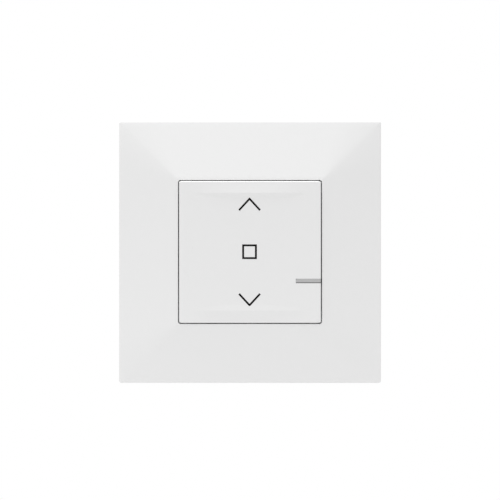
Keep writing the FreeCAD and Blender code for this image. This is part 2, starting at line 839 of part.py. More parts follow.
def link_holes(y0, y1):
    """Square-pin holes of a board."""
    half = link_pin_size / 2 + pin_hole_play
    return [box(x - half, x + half, y0, y1, link_place - half, link_place + half) for x in link_places()]


def board_link():
    """The pin header that joins the two boards: one base with a row of square pins."""
    half = link_pin_size / 2
    length = link_pin_count * link_pin_pitch / 2
    base = box(-length, length, y_power_front - link_base_height, y_power_front,
               link_place - link_base_width / 2, link_place + link_base_width / 2)
    y0 = y_board_front + link_pin_stub / 2
    pins = [box(x - half, x + half, y0, y_power_back + link_pin_stub, link_place - half, link_place + half)
            for x in link_places()]
    return join([base] + pins)


def radio_module():
    """A small radio board with its shielding can, on the back of the control board."""
    x, z = radio_x, radio_z
    y_can = y_board_back + radio_board_thickness
    half_x, half_z = radio_width / 2, radio_height / 2
    base = box(x - half_x, x + half_x, y_board_back, y_can, z - half_z, z + half_z)
    can = slab(half_x - can_margin, half_z - can_margin, can_corner_radius,
               y_can, y_board_back + radio_thickness, x, z)
    return join([base, can])


def processor_chip():
    """The control chip on the back of the control board, with its sloping edges."""
    half = chip_size / 2
    top = half - chip_thickness / 4
    return Part.makeWedge(chip_x - half, y_board_back, chip_z - half, chip_z - top, chip_x - top,
                          chip_x + half, y_board_back + chip_thickness, chip_z + half,
                          chip_z + top, chip_x + top)


def indicator_lamp():
    """The lamp on the control board, behind the light pipe."""
    return box(guide_leg_x - led_width / 2, guide_leg_x + led_width / 2, y_board_front - led_thickness,
               y_board_front, -guide_drop - led_height / 2, -guide_drop + led_height / 2)


def light_pipe():
    """The short clear pipe in the module cover, between the lamp and the light guide's leg."""
    y_end = y_board_front - led_thickness - pipe_led_gap
    return box(guide_leg_x - pipe_width / 2, guide_leg_x + pipe_width / 2, y_cover_face - pipe_proud,
               y_end, -guide_drop - pipe_height / 2, -guide_drop + pipe_height / 2)


def power_board():
    """The board that carries relays, supply and terminals, notched at the housing's screw bosses."""
    y0, y1 = y_power_front - 1, y_power_back + 1
    body = box(-board_half, board_half, y_power_front, y_power_back, -board_half, board_half)
    notches = screw_notches(board_half, boss_half, y0, y1)
    half = busbar_tail_width / 2 + pin_hole_play
    holes = [box(x - half, x + half, y0, y1, busbar_bottom - pin_hole_play, busbar_top + pin_hole_play)
             for x in terminal_places()]
    return carve(body, notches + holes + link_holes(y0, y1))


def relay(z0):
    """A sealed relay for one direction of the shutter's motor."""
    x0 = part_margin - board_half
    body = box(x0, x0 + relay_length, y_power_front - relay_height, y_power_front, z0, z0 + relay_width)
    return body.makeChamfer(relay_edge, edges_where(body, lambda m, e: m.y < y_power_front - 0.01))


def transformer():
    """The supply's transformer: a ferrite core round a taped winding."""
    half_x = transformer_width / 2
    half_z = transformer_length / 2
    x = board_half - part_margin - half_x
    z = relay_gap / 2 + half_z
    y_top = y_power_front - transformer_height
    y_foot = y_power_front - transformer_foot
    core = box(x - half_x, x + half_x, y_top, y_foot,
               z - half_z + winding_margin, z + half_z - winding_margin)
    side = half_x - winding_margin
    winding = box(x - side, x + side, y_top + winding_margin, y_foot, z - half_z, z + half_z)
    foot = box(x - half_x, x + half_x, y_foot, y_power_front, z - half_z, z + half_z)
    return join([core, winding, foot])


def bulk_capacitor():
    """The supply's electrolytic capacitor, standing on the power board, with its rim turned in."""
    x = board_half - part_margin - capacitor_radius
    y0 = y_power_front - capacitor_length
    body = rod_y(capacitor_radius, x, -capacitor_drop, y0 + capacitor_rim, y_power_front)
    return body.fuse(rod_y(capacitor_radius - capacitor_rim, x, -capacitor_drop, y0, y_power_front))


def film_capacitor():
    """The interference filter's boxed film capacitor."""
    z0 = part_margin - board_half
    body = box(-film_end - film_width, -film_end, y_power_front - film_height, y_power_front,
               z0, z0 + film_depth)
    return body.makeChamfer(0.4, edges_where(body, lambda m, e: m.y < y_power_front - 0.01))


def varistor():
    """The surge arrester's disc, on a short foot."""
    y = y_power_front - varistor_radius - varistor_foot
    z = part_margin - board_half + varistor_radius
    disc = rod(varistor_radius, (varistor_x - varistor_thickness / 2, y, z), (1, 0, 0), varistor_thickness)
    half = varistor_foot / 2
    foot = box(varistor_x - half, varistor_x + half, y, y_power_front, z - varistor_foot, z + varistor_foot)
    return join([disc, foot])


def busbar(x):
    """The stamped contact bar of a terminal, whose tail is soldered into the power board."""
    strip = box(x - busbar_half, x + busbar_half, y_power_back, y_cage_back, busbar_bottom, busbar_top)
    half = busbar_tail_width / 2
    tail = box(x - half, x + half, y_power_front - busbar_tail_stub, y_power_back,
               busbar_bottom, busbar_top)
    return join([strip, tail])


def terminal_cage(x):
    """The rising clamp of a terminal: its screw pulls it down onto the wire on the busbar."""
    outer = box(x - cage_half, x + cage_half, y_cage_front, y_cage_back, cage_bottom, cage_top)
    inner = box(x - cage_inner_half, x + cage_inner_half, y_cage_front - 1, y_cage_back + 1,
                cage_floor, cage_roof)
    y = (y_cage_front + y_cage_back) / 2
    thread = rod(thread_radius + thread_play, (x, y, cage_bottom - 1), (0, 0, 1), cage_base + 2)
    return outer.cut([inner, thread])


def terminal_screw(x):
    """The captive screw of a terminal, with its head above the access hole."""
    y = (y_cage_front + y_cage_back) / 2
    shank = rod(thread_radius, (x, y, head_top - 0.1), (0, 0, 1), busbar_bottom - head_top + 0.1 - 0.02)
    head = rod(head_radius, (x, y, head_bottom), (0, 0, 1), head_height)
    slot = box(x - head_radius - 1, x + head_radius + 1, y - driver_slot / 2, y + driver_slot / 2,
               head_bottom - 1, head_bottom + driver_slot_depth)
    return carve(join([head, shank]), [slot])


def housing_screw(x, z):
    """One of the four screws that clamp cover and housing on the mounting plate."""
    y_head = y_cover_face + head_sink
    y_seat = y_cover_face + housing_screw_head_height
    head = rod_y(housing_screw_head_radius, x, z, y_head, y_seat)
    shank = rod_y(housing_screw_radius, x, z, y_seat - head_sink, y_seat + housing_screw_length)
    long, short = cross_span / 2, cross_width / 2
    arms = [box(x - long, x + long, y_head - 1, y_head + cross_depth, z - short, z + short),
            box(x - short, x + short, y_head - 1, y_head + cross_depth, z - long, z + long)]
    return carve(join([head, shank]), arms)


def rear_housing():
    """The rear housing: a moulded pot with a flange, screw bosses and four terminal chambers."""
    pot = slab(housing_half, housing_half, housing_corner_radius, 0, y_housing_back)

    def back_edge(middle, edge):
        return abs(middle.y - y_housing_back) < 0.01

    pot = pot.makeChamfer(housing_edge_chamfer, edges_where(pot, back_edge))
    flange = slab(flange_half, flange_half, flange_corner_radius, 0, flange_thickness)
    room = slab(housing_inner, housing_inner, housing_corner_radius - housing_wall,
                -1, y_housing_back_inner)
    shell = join([pot, flange]).cut(room)
    near = boss_place - boss_half
    boss = box(near, housing_half, y_board_back, y_housing_back - housing_edge_chamfer, near, housing_half)
    bosses = four_ways(boss.common(pot))
    body = join([shell] + bosses + chamber_walls() + rest_ribs())
    cuts = [square_bar(housing_screw_radius, x, z, y_board_back - 1, y_board_back + pilot_depth)
            for x, z in corner_screws()]
    y = (y_cage_front + y_cage_back) / 2
    for x in terminal_places():
        cuts.append(box(x - access_half, x + access_half, y - access_half, y + access_half,
                        -housing_half - 1, -housing_inner + 0.5))
        cuts.append(wire_entry(x))
    body = carve(body, cuts)

    def entry_edge(middle, edge):
        inside = max(abs(middle.x), abs(middle.z)) < housing_inner - housing_edge_chamfer
        return inside and abs(middle.y - y_housing_back) < 0.01

    return body.makeChamfer(funnel, edges_where(body, entry_edge))


def chamber_walls():
    """The walls between and beside the terminals."""
    walls = []
    places = terminal_places()
    edges = [places[0] - terminal_pitch / 2] + [x + terminal_pitch / 2 for x in places]
    for x in edges:
        walls.append(box(x - partition / 2, x + partition / 2, y_power_back, y_housing_back_inner + 0.5,
                         -housing_inner - 0.5, cage_top + 0.6))
    return walls


def rest_ribs():
    """Ribs inside the upper wall, on which the power board rests."""
    ribs = []
    for x in (board_half / 2, -board_half / 2):
        ribs.append(box(x - rest_rib_width / 2, x + rest_rib_width / 2, y_power_back,
                        y_housing_back_inner + 0.5, housing_inner - rest_rib_depth - board_room,
                        housing_inner + 0.5))
    return ribs


def wire_entry(x):
    """An entry for two wires side by side, before its edge is widened to a funnel."""
    half_x = cage_inner_half - wire_window_margin
    z0 = busbar_top + wire_window_margin
    z1 = busbar_top + wire_gap - wire_window_margin
    return box(x - half_x, x + half_x, y_housing_back_inner - 0.1, y_housing_back + 1, z0, z1)


def all_pieces():
    """Every piece of the switch by its name."""
    pieces = {
        "cover_frame": cover_frame(),
        "mounting_plate": mounting_plate(),
        "key_plate": key_plate(),
        "light_guide": light_guide(),
        "key_carrier": key_carrier(),
        "pivot_bar": pivot_bar(),
        "bar_spring_left": flip_x(bar_spring()),
        "bar_spring_right": bar_spring(),
        "module_cover": module_cover(),
        "light_pipe": light_pipe(),
        "dome_mat": dome_mat(),
        "control_board": control_board(),
        "indicator_lamp": indicator_lamp(),
        "radio_module": radio_module(),
        "processor_chip": processor_chip(),
        "board_link": board_link(),
        "power_board": power_board(),
        "relay_up": relay(relay_gap / 2),
        "relay_down": relay(-relay_gap / 2 - relay_width),
        "transformer": transformer(),
        "bulk_capacitor": bulk_capacitor(),
        "film_capacitor": film_capacitor(),
        "varistor": varistor(),
        "rear_housing": rear_housing(),
    }
    for number, (x, z) in enumerate(corner_screws(), 1):
        pieces[f"housing_screw_{number}"] = housing_screw(x, z)
    for number, x in enumerate(terminal_places(), 1):
        pieces[f"busbar_{number}"] = busbar(x)
        pieces[f"terminal_cage_{number}"] = terminal_cage(x)
        pieces[f"terminal_screw_{number}"] = terminal_screw(x)
    return pieces


def write_pieces(folder):
    """Writes one file for each piece."""
    os.makedirs(folder, exist_ok=True)
    for name, shape in all_pieces().items():
        solids = shape.Solids
        solids[0].exportStep(os.path.join(folder, name + ".step"))
        print(f"{name}: {len(solids)} solid, {shape.Volume:.1f} mm3, valid {shape.isValid()}")


write_pieces("parts")
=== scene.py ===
import math

import bmesh
import bpy
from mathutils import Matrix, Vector


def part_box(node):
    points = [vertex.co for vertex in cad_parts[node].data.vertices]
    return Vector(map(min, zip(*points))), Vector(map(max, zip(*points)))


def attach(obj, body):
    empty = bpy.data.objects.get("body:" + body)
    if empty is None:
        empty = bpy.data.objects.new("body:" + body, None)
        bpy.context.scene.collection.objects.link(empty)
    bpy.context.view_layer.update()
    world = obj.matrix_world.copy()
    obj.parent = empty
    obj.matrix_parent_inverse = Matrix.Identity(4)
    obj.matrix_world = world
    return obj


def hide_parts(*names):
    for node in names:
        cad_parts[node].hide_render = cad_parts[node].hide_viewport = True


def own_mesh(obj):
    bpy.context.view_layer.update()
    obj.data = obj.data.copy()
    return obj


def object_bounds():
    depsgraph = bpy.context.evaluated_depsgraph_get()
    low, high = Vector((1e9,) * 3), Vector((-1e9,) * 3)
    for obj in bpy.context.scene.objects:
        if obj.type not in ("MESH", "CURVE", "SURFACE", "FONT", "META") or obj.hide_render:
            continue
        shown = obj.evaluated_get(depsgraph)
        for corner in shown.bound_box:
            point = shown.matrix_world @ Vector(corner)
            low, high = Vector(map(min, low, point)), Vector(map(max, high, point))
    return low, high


# Roller shutter switch seen straight on: cover frame, one-piece key with its printed symbols and
# light bar, and the mechanism behind. Sizes are in millimetres and become metres in a mesh.

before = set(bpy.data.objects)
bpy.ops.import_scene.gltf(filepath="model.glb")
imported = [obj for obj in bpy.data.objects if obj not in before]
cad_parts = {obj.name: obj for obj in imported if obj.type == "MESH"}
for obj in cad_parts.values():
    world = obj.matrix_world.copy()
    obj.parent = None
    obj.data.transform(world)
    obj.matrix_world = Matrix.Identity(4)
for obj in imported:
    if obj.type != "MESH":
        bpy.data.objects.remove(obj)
cad_low, cad_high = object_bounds()
mm = 0.001

# Cover frame
frame_half = 42.5
frame_corner = 0.8
edge_start = 0.8                # from the frame's outside to where its edge begins to roll
edge_radius = 0.2
edge_tilt = 0.24                # slope where the rolled edge meets the round
opening_half = 23.3
opening_corner = 0.75
opening_break = 0.25
crest_y = -10.25
fall = 2.4
slope = fall / (frame_half - opening_half)
collar_back_y = -3.4
collar_front_y = -7.25          # where the opening's rounding has its last straight ring behind
side_front_y = -4.0
face_rings = 18
mitre_corner = 0.03             # corner radius of the face where the edge begins to roll
mitre_start = 0.3
mitre_spread = 0.8              # width of the softened mitre for each millimetre from the opening

# Key
key_half = 23.0
key_corner = 0.5
key_break = 0.28
rim_steps = 6
key_face_y = -10.75
skirt_end_y = -5.003
ridge_place = 19.1
ridge_end = 16.8                # where the key's face is flat again, inside a ridge
ridge_reach = 18.2
upper_crest = 0.25              # over the flat of the key
lower_crest = 0.1
lower_sag = 0.25                # of the key's lower edge behind the flat
ridge_inner = 2.0
bar_start = 14.9
bar_middle_z = -9.4
bar_half_height = 0.7
bar_play = 0.02
bar_return = 3.2
slot_depth = 0.9                # of the slot's walls behind the key's face
slot_inset = 0.6                # and behind the key's side
slot_start = bar_start - bar_play
slot_low = bar_middle_z - bar_half_height - bar_play
slot_high = bar_middle_z + bar_half_height + bar_play
hair = 0.001                    # by which two places still count as one

# Print
ink_width = 0.63
ink_height = 0.02
ink_proud = 0.006               # from the key's face to the middle of the ink
print_shift = -0.15             # how far the symbols stand from the key's middle
stop_lift = 0.09
chevron_half = 3.4
chevron_apex = 17.27
chevron_foot = 13.57
stop_half = 2.07

# Raised marks on the back of the housing
mark_width = 0.5
mark_height = 0.5
mark_half = 1.1
mark_lift = 6.5                 # from the middle of a wire entry to the mark over it
gauge_length = 8.0              # of bare wire that a terminal takes
gauge_tick = 1.2
gauge_lift = 11.5

# Contact mat and return springs
mat_half_x = 6.0
mat_half_z = 18.2
mat_corner = 2.0
mat_front_y = -1.2
mat_back_y = -0.4
mat_break = 0.12                # of the mat's edges
dome_place = 13.0
dome_foot_radius = 3.3
dome_top_radius = 2.4
dome_sides = 40
stop_dome_height = 1.6
side_dome_height = 1.08         # lower than the stop dome by the way that a rocking key's nib goes
spring_inner = 5.5
spring_outer = 14.5
spring_half = 1.3
spring_sheet = 0.2
spring_crown_y = -4.6
spring_foot_y = -2.4
spring_edge = 0.05
spring_steps = 32

# Screw threads and chip parts
thread_pitch = 0.6
thread_start = 2.1              # from a screw's lower end
thread_end = 0.2                # from its upper end
thread_sink = 0.11              # of the thread's middle line in the shank
chip_pitch = 2.6
chip_left = -12.5
chip_rows = ((-13.5, 6), (-10.8, 4))        # height of a row and its number of parts
chip_column = (10.5, -8.0, 2.0, 9)          # place, lowest part, pitch and number of parts
chip_lift = 0.22                # from the board to the middle of a part

# Pins of the power board's parts, as shares of each part's width and height
board_pins = {
    "relay_up": ((0.12, 0.2), (0.12, 0.8), (0.55, 0.8), (0.88, 0.2), (0.88, 0.8)),
    "relay_down": ((0.12, 0.2), (0.12, 0.8), (0.55, 0.2), (0.88, 0.2), (0.88, 0.8)),
    "transformer": ((0.15, 0.15), (0.15, 0.5), (0.15, 0.85), (0.85, 0.15), (0.85, 0.85)),
    "bulk_capacitor": ((0.3, 0.5), (0.7, 0.5)),
    "film_capacitor": ((0.1, 0.5), (0.9, 0.5)),
    "varistor": ((0.5, 0.1), (0.5, 0.9)),
}

# Camera, floor and light
photo_width = 162.2             # millimetres across the picture
photo_drop = 0.65               # how far the switch stands below the picture's middle
floor_drop = 60                 # from the switch to the studio's floor
floor_half = 2000
camera_distance = 700
lamp_place = (-150, 47, 900)
lamp_width = 360
lamp_depth = 80
lamp_power = 15.5


# Shader and node helpers

class Value:
    """A socket in a node tree. Sums on it add Math nodes."""

    def __init__(self, tree, socket):
        self.tree = tree
        self.socket = socket

    def math(self, operation, *others):
        return self.tree.add("ShaderNodeMath", {"operation": operation}, dict(enumerate((self,) + others)))

    def __add__(self, other):
        return self.math("ADD", other)

    __radd__ = __add__

    def __sub__(self, other):
        return self.math("SUBTRACT", other)

    def __rsub__(self, other):
        return self.tree.add("ShaderNodeMath", {"operation": "SUBTRACT"}, {0: other, 1: self})

    def __mul__(self, other):
        return self.math("MULTIPLY", other)

    def __truediv__(self, other):
        return self.math("DIVIDE", other)

    def __gt__(self, other):
        return self.math("GREATER_THAN", other)

    def __abs__(self):
        return self.math("ABSOLUTE")

    def smooth(self, low, high):
        """0 below low, 1 above high, and a smooth step between."""
        return self.tree.add("ShaderNodeMapRange", {"interpolation_type": "SMOOTHSTEP"},
                             {"Value": self, "From Min": low, "From Max": high})


class Tree:
    """A node tree and its one way of adding a node."""

    def __init__(self, tree):
        self.tree = tree

    def add(self, kind, settings=None, inputs=None, out=0):
        """A node with its settings, and its inputs as numbers or sockets. Gives one of its outputs."""
        node = self.tree.nodes.new(kind)
        for name, value in (settings or {}).items():
            setattr(node, name, value)
        for name, value in (inputs or {}).items():
            if isinstance(value, Value):
                self.tree.links.new(value.socket, node.inputs[name])
            else:
                node.inputs[name].default_value = value
        return Value(self, node.outputs[out])


class Finish(Tree):
    """A material with its shader, read in object coordinates."""

    def __init__(self, name, roughness, metallic=0.0, coat=0.0):
        self.material = bpy.data.materials.new(name)
        self.material.use_nodes = True
        super().__init__(self.material.node_tree)
        self.shader = self.tree.nodes["Principled BSDF"]
        self.shader.inputs["Roughness"].default_value = roughness
        self.shader.inputs["Metallic"].default_value = metallic
        self.shader.inputs["Coat Weight"].default_value = coat
        self.shader.inputs["Coat Roughness"].default_value = 0.25
        self.here = self.add("ShaderNodeTexCoord", out=3)
        self.heights = None

    def at(self, scale):
        """Object coordinates, stretched by a scale on each axis."""
        return self.add("ShaderNodeVectorMath", {"operation": "MULTIPLY"}, {0: self.here, 1: scale})

    def axis(self, name):
        """One object coordinate in millimetres."""
        return self.add("ShaderNodeSeparateXYZ", None, {0: self.here}, out="XYZ".index(name)) / mm

    def noise(self, size, detail=2.0, roughness=0.5, stretch=(1, 1, 1)):
        """A noise from 0 to 1, with features of a size in millimetres."""
        scale = tuple(s / (size * mm) for s in stretch)
        return self.add("ShaderNodeTexNoise", None,
                        {"Vector": self.at(scale), "Scale": 1.0, "Detail": detail, "Roughness": roughness})

    def cells(self, size, out=0):
        """Cells of a size in millimetres: the distance to the nearest middle, or each cell's colour."""
        scale = (1 / (size * mm),) * 3
        return self.add("ShaderNodeTexVoronoi", None, {"Vector": self.at(scale), "Scale": 1.0}, out=out)

    def mix(self, factor, colour_a, colour_b):
        """The first colour at factor 0 and the second at 1."""
        node_inputs = {0: factor, 6: rgba(colour_a), 7: rgba(colour_b)}
        return self.add("ShaderNodeMix", {"data_type": "RGBA"}, node_inputs, out=2)

    def set(self, **sockets):
        """Sets the shader's sockets, named with underscores for spaces."""
        for name, value in sockets.items():
            socket = self.shader.inputs[name.replace("_", " ")]
            if isinstance(value, Value):
                self.tree.links.new(value.socket, socket)
            else:
                socket.default_value = value
        return self

    def bump(self, height, depth, strength=1.0):
        """Relief of a depth in millimetres. Later calls lie on top of earlier ones."""
        inputs = {"Height": height, "Distance": depth * mm, "Strength": strength}
        if self.heights is not None:
            inputs["Normal"] = self.heights
        self.heights = self.add("ShaderNodeBump", None, inputs)
        self.tree.links.new(self.heights.socket, self.shader.inputs["Normal"])
        return self


def rgba(colour):
    """A grey or a colour as four numbers. A socket stays as it is."""
    if isinstance(colour, Value):
        return colour
    if not isinstance(colour, tuple):
        colour = (colour, colour, colour)
    return colour + (1.0,)


def middle_of(node):
    """The middle of a CAD node, in millimetres."""
    low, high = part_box(node)
    return (low + high) / 2 / mm


# Finishes

def moulded(name, colour, roughness, grain=0.12, depth=0.002, mottle=0.03, coat=0.0):
    """Injection-moulded plastic: a fine spark-eroded grain, faint flow marks and uneven gloss."""
    f = Finish(name, roughness, coat=coat)
    cloud = f.noise(14.0, 3.0)
    flow = f.noise(6.0, 2.0, stretch=(1, 1, 0.25))
    fine = f.noise(grain, 2.0, 0.6)
    darker = tuple(c * (1 - mottle) for c in colour)
    lighter = tuple(min(1.0, c * (1 + mottle)) for c in colour)
    f.set(Base_Color=f.mix(cloud * 0.6 + flow * 0.4, darker, lighter))
    f.set(Roughness=roughness + (fine - 0.5) * 0.08 + (cloud - 0.5) * 0.05)
    return f.bump(flow, depth * 2, 0.4).bump(fine, depth)


def white_plastic(name, colour):
    """The clean satin plastic of the frame and the key."""
    return moulded(name, colour, 0.36, grain=0.16, depth=0.0012, mottle=0.004)


def printed_ink():
    """Black pad-printed ink, a little uneven, with a fine orange peel."""
    f = Finish("ink", 0.42)
    speck = f.noise(0.09, 3.0, 0.6)
    f.set(Base_Color=f.mix(speck.smooth(0.35, 0.8), 0.003, 0.009))
    f.set(Roughness=0.5 + speck * 0.14, Specular_IOR_Level=0.08)
    return f.bump(speck, 0.002)


def light_bar_plastic():
    """Grey translucent plastic, a little clouded, with a painted shadow line along its foot."""
    f = Finish("light_bar", 0.3)
    cloud = f.noise(1.2, 2.0)
    # Painted shadow: the bar's lowest few tenths of a millimetre darken towards 0.15, standing for the
    # shade along its lower edge.
    foot = f.axis("Z") - (bar_middle_z - bar_half_height)
    clear_of_painted_shadow = foot.smooth(0.24, 0.38)
    grey = f.mix(cloud, 0.41, 0.44)
    f.set(Base_Color=f.mix(clear_of_painted_shadow, 0.15, grey))
    f.set(Roughness=0.27 + cloud * 0.06)
    f.set(Subsurface_Weight=0.1, Subsurface_Radius=(0.6, 0.6, 0.6), Subsurface_Scale=0.001)
    return f.bump(f.noise(0.15, 1.0), 0.001)


def zinc_steel():
    """Zinc-plated sheet: rolled grain along X, spangles and a blotchy pale bloom."""
    f = Finish("zinc_steel", 0.34, metallic=1.0)
    bloom = f.noise(5.0, 4.0, 0.6)
    rolled = f.noise(0.5, 3.0, 0.7, stretch=(0.05, 1, 1))
    spangle = f.cells(1.4, out=1)
    tint = f.add("ShaderNodeSeparateColor", None, {0: spangle})
    blotch = bloom.smooth(0.3, 0.75) * 0.7 + tint * 0.3
    f.set(Base_Color=f.mix(blotch, (0.55, 0.57, 0.60), (0.78, 0.78, 0.77)))
    f.set(Roughness=0.28 + bloom * 0.16 + rolled * 0.1)
    return f.bump(rolled, 0.004).bump(bloom, 0.004, 0.5)


def strip_steel():
    """Rolled spring strip, bluish, with its grain along X."""
    f = Finish("spring_steel", 0.28, metallic=1.0)
    grain = f.noise(0.2, 3.0, 0.7, stretch=(0.04, 1, 1))
    warm = f.noise(3.0, 2.0)
    f.set(Base_Color=f.mix(warm, (0.50, 0.52, 0.56), (0.62, 0.60, 0.58)))
    f.set(Roughness=0.2 + grain * 0.18)
    return f.bump(grain, 0.003)


def silicone():
    """Grey silicone rubber with a dusty bloom."""
    f = Finish("silicone", 0.62)
    dust = f.noise(2.0, 4.0, 0.65)
    f.set(Base_Color=f.mix(dust.smooth(0.35, 0.8), (0.42, 0.43, 0.45), (0.55, 0.56, 0.58)))
    f.set(Roughness=0.55 + dust * 0.15)
    return f.bump(f.noise(0.3, 2.0), 0.003)


def solder_mask():
    """Green board with tracks under its mask, and tinned pads with a painted dark spot in each for the
    shade inside its drilled hole.
    """
    f = Finish("board", 0.35, coat=0.2)
    x, z = f.axis("X"), f.axis("Z")
    region = f.cells(3.6, out=1)
    turn = f.add("ShaderNodeSeparateColor", None, {0: region}) > 0.5
    lane = x * turn + z * (1 - turn)
    wave = (lane * (math.pi / 0.8)).math("SINE")
    track = wave.smooth(0.1, 0.35)
    hole = f.cells(2.9)
    pad = 1 - hole.smooth(0.10, 0.13)
    # Painted shade: a near-black dot in each pad stands for the dark inside of a drilled hole.
    painted_hole_shade = 1 - hole.smooth(0.045, 0.06)
    weave = f.noise(0.25, 1.0)
    mask = f.mix(track, (0.006, 0.085, 0.035), (0.014, 0.17, 0.07))
    tinned = f.mix(pad, mask, (0.62, 0.60, 0.55))
    f.set(Base_Color=f.mix(painted_hole_shade, tinned, (0.01, 0.01, 0.01)), Metallic=pad * (1 - painted_hole_shade) * 0.9)
    f.set(Roughness=0.34 + weave * 0.1)
    return f.bump(track + pad, 0.03, 0.6).bump(weave, 0.003)


def tinned_sheet():
    """Tinned shielding can: a soft drawn grain and a matt bloom."""
    f = Finish("shield_can", 0.32, metallic=1.0)
    grain = f.noise(0.3, 3.0, 0.7, stretch=(1, 1, 0.06))
    bloom = f.noise(2.5, 3.0)
    f.set(Base_Color=f.mix(bloom, (0.64, 0.64, 0.62), (0.80, 0.79, 0.76)))
    f.set(Roughness=0.24 + bloom * 0.14 + grain * 0.08)
    return f.bump(grain, 0.003)


def taped_ferrite():
    """Dark ferrite, granular, with a band of pale tape round the winding."""
    f = Finish("ferrite", 0.6)
    grain = f.cells(0.35)
    z = abs(f.axis("Z") - middle_of("transformer").z)
    tape = 1 - z.smooth(1.55, 1.6)
    wrinkle = f.noise(0.8, 2.0, stretch=(1, 1, 0.2))
    dark = f.mix(grain, (0.03, 0.03, 0.032), (0.075, 0.075, 0.075))
    f.set(Base_Color=f.mix(tape, dark, (0.62, 0.50, 0.16)))
    f.set(Roughness=0.62 - tape * 0.3 + wrinkle * 0.05)
    return f.bump(grain * (1 - tape), 0.02).bump(wrinkle * tape, 0.02)


def capacitor_sleeve():
    """Dark shrink sleeve with a pale stripe along one side."""
    f = Finish("capacitor_sleeve", 0.25, coat=0.3)
    middle = middle_of("bulk_capacitor")
    x, z = f.axis("X") - middle.x, f.axis("Z") - middle.z
    bearing = z.math("ARCTAN2", x)
    stripe = 1 - abs(bearing - 2.4).smooth(0.36, 0.39)
    dash = ((f.axis("Y") * 1.1).math("FRACT") > 0.55) * (1 - abs(bearing - 2.4).smooth(0.1, 0.12))
    wrinkle = f.noise(1.6, 2.0, stretch=(1, 0.3, 1))
    sleeve = f.mix(wrinkle, (0.012, 0.014, 0.03), (0.025, 0.028, 0.05))
    striped = f.mix(stripe, sleeve, (0.55, 0.56, 0.60))
    f.set(Base_Color=f.mix(dash, striped, (0.02, 0.02, 0.04)))
    f.set(Roughness=0.22 + wrinkle * 0.1)
    return f.bump(wrinkle, 0.01)


def stamped_brass():
    """Stamped brass: rolled grain, slightly tarnished."""
    f = Finish("brass_metal", 0.28, metallic=1.0)
    tarnish = f.noise(1.8, 4.0, 0.6)
    grain = f.noise(0.25, 2.0, 0.7, stretch=(1, 0.06, 1))
    f.set(Base_Color=f.mix(tarnish.smooth(0.3, 0.8), (0.80, 0.58, 0.26), (0.55, 0.38, 0.16)))
    f.set(Roughness=0.2 + tarnish * 0.18 + grain * 0.08)
    return f.bump(grain, 0.004)


def soft_solder():
    """Solder: bright, slightly grainy where it set."""
    f = Finish("solder", 0.25, metallic=1.0)
    grain = f.noise(0.2, 3.0)
    f.set(Base_Color=f.mix(grain, (0.60, 0.60, 0.60), (0.78, 0.77, 0.75)))
    f.set(Roughness=0.18 + grain * 0.2)
    return f.bump(grain, 0.01)


def pale_floor():
    """Plain pale studio floor."""
    f = Finish("floor", 0.7)
    cloud = f.noise(120.0, 3.0)
    f.set(Base_Color=f.mix(cloud, (0.49, 0.49, 0.49), (0.51, 0.51, 0.51)))
    return f.bump(f.noise(2.0, 2.0), 0.01)


white = (0.727, 0.727, 0.727)    # gives the key's flat the grey of the photo
finishes = {
    "frame_plastic": white_plastic("frame_plastic", white),
    "key_plastic": white_plastic("key_plastic", white),
    "light_bar": light_bar_plastic(),
    "dark_plastic": moulded("dark_plastic", (0.022, 0.022, 0.024),
                            0.5, grain=0.3, depth=0.006, mottle=0.15),
    "module_plastic": moulded("module_plastic", (0.055, 0.057, 0.062),
                              0.52, grain=0.35, depth=0.008, mottle=0.1),
    "zinc_steel": zinc_steel(),
    "spring_steel": strip_steel(),
    "silicone": silicone(),
    "board": solder_mask(),
    "lamp": moulded("lamp", (0.75, 0.74, 0.60), 0.25, grain=0.1, depth=0.001, mottle=0.03, coat=0.4),
    "shield_can": tinned_sheet(),
    "chip_black": moulded("chip_black", (0.016, 0.016, 0.018),
                          0.55, grain=0.12, depth=0.004, mottle=0.12),
    "relay_plastic": moulded("relay_plastic", (0.016, 0.017, 0.02),
                             0.3, grain=0.25, depth=0.003, mottle=0.12),
    "ferrite": taped_ferrite(),
    "capacitor_sleeve": capacitor_sleeve(),
    "film_plastic": moulded("film_plastic", (0.68, 0.48, 0.06), 0.3, grain=0.2, depth=0.003, mottle=0.04),
    "varistor_blue": moulded("varistor_blue", (0.03, 0.10, 0.34),
                             0.24, grain=0.9, depth=0.02, mottle=0.08, coat=0.5),
    "brass_metal": stamped_brass(),
}
ink = printed_ink().material
solder = soft_solder().material


def dress_nodes():
    """Gives every CAD node the finish of its slot."""
    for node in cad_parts.values():
        for slot in node.material_slots:
            name = slot.material.name.split(".")[0] if slot.material else ""
            if name in finishes:
                slot.material = finishes[name].material
            else:
                print("no finish for", node.name, name)


# Mesh helpers

def new_piece(name, bm, material):
    """An object of its own from a finished mesh."""
    mesh = bpy.data.meshes.new(name)
    bm.to_mesh(mesh)
    bm.free()
    mesh.materials.append(material)
    piece = bpy.data.objects.new(name, mesh)
    bpy.context.scene.collection.objects.link(piece)
    return piece


def skin(bm, rings, leave=None):
    """Faces between closed rings of points, each as long as the next. leave(i, j) names cells left open."""
    rows = [[bm.verts.new(Vector(p) * mm) for p in ring] for ring in rings]
    count = len(rows[0])
    for i in range(len(rows) - 1):
        for j in range(count):
            if leave and leave(i, j):
                continue
            k = (j + 1) % count
            bm.faces.new((rows[i][j], rows[i][k], rows[i + 1][k], rows[i + 1][j]))
    return rows


def square_ring(half, radius, side_steps=44, corner_steps=6):
    """A rounded square round the origin as (x, z) points, close together near its corners."""
    points = []
    flat = half - radius
    for turn in range(4):
        c, s = (1, 0, -1, 0)[turn], (0, 1, 0, -1)[turn]

        def turned(x, z):
            return (x * c - z * s, x * s + z * c)

        for i in range(1, side_steps):
            t = -math.cos(math.pi * i / side_steps)
            points.append(turned(half, flat * t))
        for i in range(corner_steps + 1):
            a = math.pi / 2 * i / corner_steps
            points.append(turned(flat + radius * math.cos(a), flat + radius * math.sin(a)))
    return points


